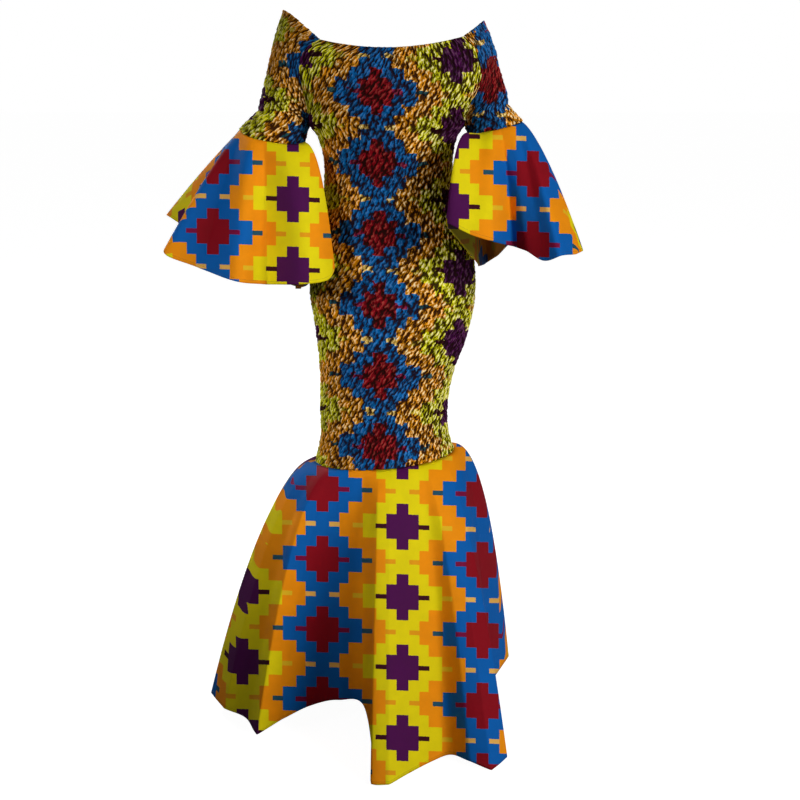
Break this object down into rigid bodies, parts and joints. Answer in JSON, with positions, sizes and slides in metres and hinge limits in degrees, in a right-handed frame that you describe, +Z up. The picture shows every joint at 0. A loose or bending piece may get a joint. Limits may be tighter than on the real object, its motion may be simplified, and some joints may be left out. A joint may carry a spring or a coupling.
{
  "type": "off-shoulder mermaid gown",
  "caption": "Worn off-shoulder gown of printed cotton, smocked from neckline to knee, with bell sleeves and a flared mermaid skirt.",
  "frame": {"origin": "centre of the neckline opening, where the wearer's chest and upper arms hold the gown", "axes": "+Z up along the wearer, front towards -Y, the wearer's left towards +X"},
  "size_m": [0.8601, 0.7024, 1.4517],
  "materials": {
    "smocked_cotton": "printed cotton, smocked with elastic thread",
    "printed_cotton": "crisp waxed printed cotton"
  },
  "bodies": {
    "root": {"body_front": "smocked_cotton", "body_back": "smocked_cotton", "sleeve_upper_right": "smocked_cotton", "sleeve_upper_left": "smocked_cotton", "sleeve_flounce_right": "printed_cotton", "sleeve_flounce_left": "printed_cotton", "skirt_flounce_front": "printed_cotton", "skirt_flounce_back": "printed_cotton"}
  },
  "joints": []
}
